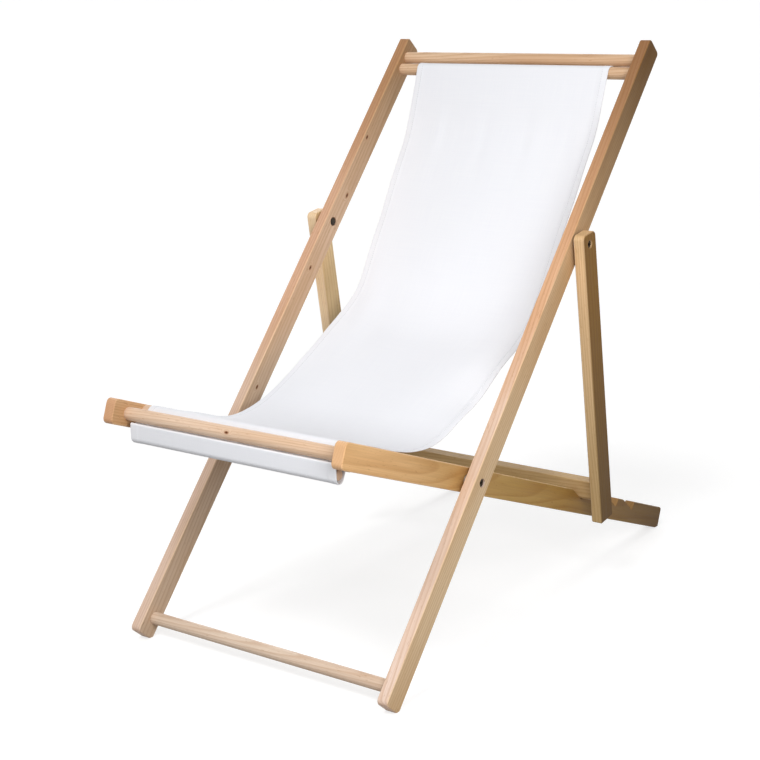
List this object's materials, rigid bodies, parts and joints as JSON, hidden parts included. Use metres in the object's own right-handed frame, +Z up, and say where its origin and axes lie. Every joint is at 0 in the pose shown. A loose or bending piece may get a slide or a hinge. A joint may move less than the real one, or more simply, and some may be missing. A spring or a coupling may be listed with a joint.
{
  "type": "folding deck chair",
  "caption": "Folding wooden deck chair: crossed frames, a prop that sits in sawtooth notches, and a hanging canvas sling.",
  "frame": {"origin": "middle of the bounding box at ground level", "axes": "+Z up, +X to the viewer's right, the front of the chair (sitter's knees) at -Y"},
  "size_m": [0.588, 1.04, 0.9562],
  "materials": {
    "wood": "clear satin varnish on pale beech",
    "canvas": "plain undyed cotton canvas",
    "steel": "zinc plated",
    "spacer": "satin"
  },
  "bodies": {
    "long_frame": {"long_rail_left": "wood", "long_rail_right": "wood", "foot_bar": "wood", "top_bar_lower": "wood", "top_bar_upper": "wood", "top_pocket_rod": "wood", "long_frame_brads": "steel", "sling": "canvas", "seat_pivot_bolt_left": "steel", "seat_pivot_spacer_left": "spacer", "seat_pivot_nut_left": "steel", "prop_pivot_bolt_left": "steel", "prop_pivot_washer_left": "spacer", "prop_pivot_nut_left": "steel", "seat_pivot_bolt_right": "steel", "seat_pivot_spacer_right": "spacer", "seat_pivot_nut_right": "steel", "prop_pivot_bolt_right": "steel", "prop_pivot_washer_right": "spacer", "prop_pivot_nut_right": "steel"},
    "seat_frame": {"seat_rail_left": "wood", "seat_rail_right": "wood", "front_bar": "wood", "sling_bar": "wood", "front_pocket_rod": "wood", "seat_frame_brads": "steel"},
    "prop_frame": {"prop_left": "wood", "prop_right": "wood", "prop_stretcher": "wood", "stretcher_dowels": "wood"}
  },
  "joints": [
    {"name": "seat_fold", "type": "hinge", "parent": "long_frame", "child": "seat_frame", "pos_m": [0, -0.19368, 0.29841], "axis": [1, 0, 0], "range_deg": [-104, 0], "deforming": ["sling"]},
    {"name": "prop_swing", "type": "hinge", "parent": "long_frame", "child": "prop_frame", "pos_m": [0, 0.1116, 0.63714], "axis": [1, 0, 0], "range_deg": [-47.1, 0]}
  ],
  "couplings": [
    {"joint": "prop_swing", "follows": "seat_fold", "ratio": 0.452}
  ]
}
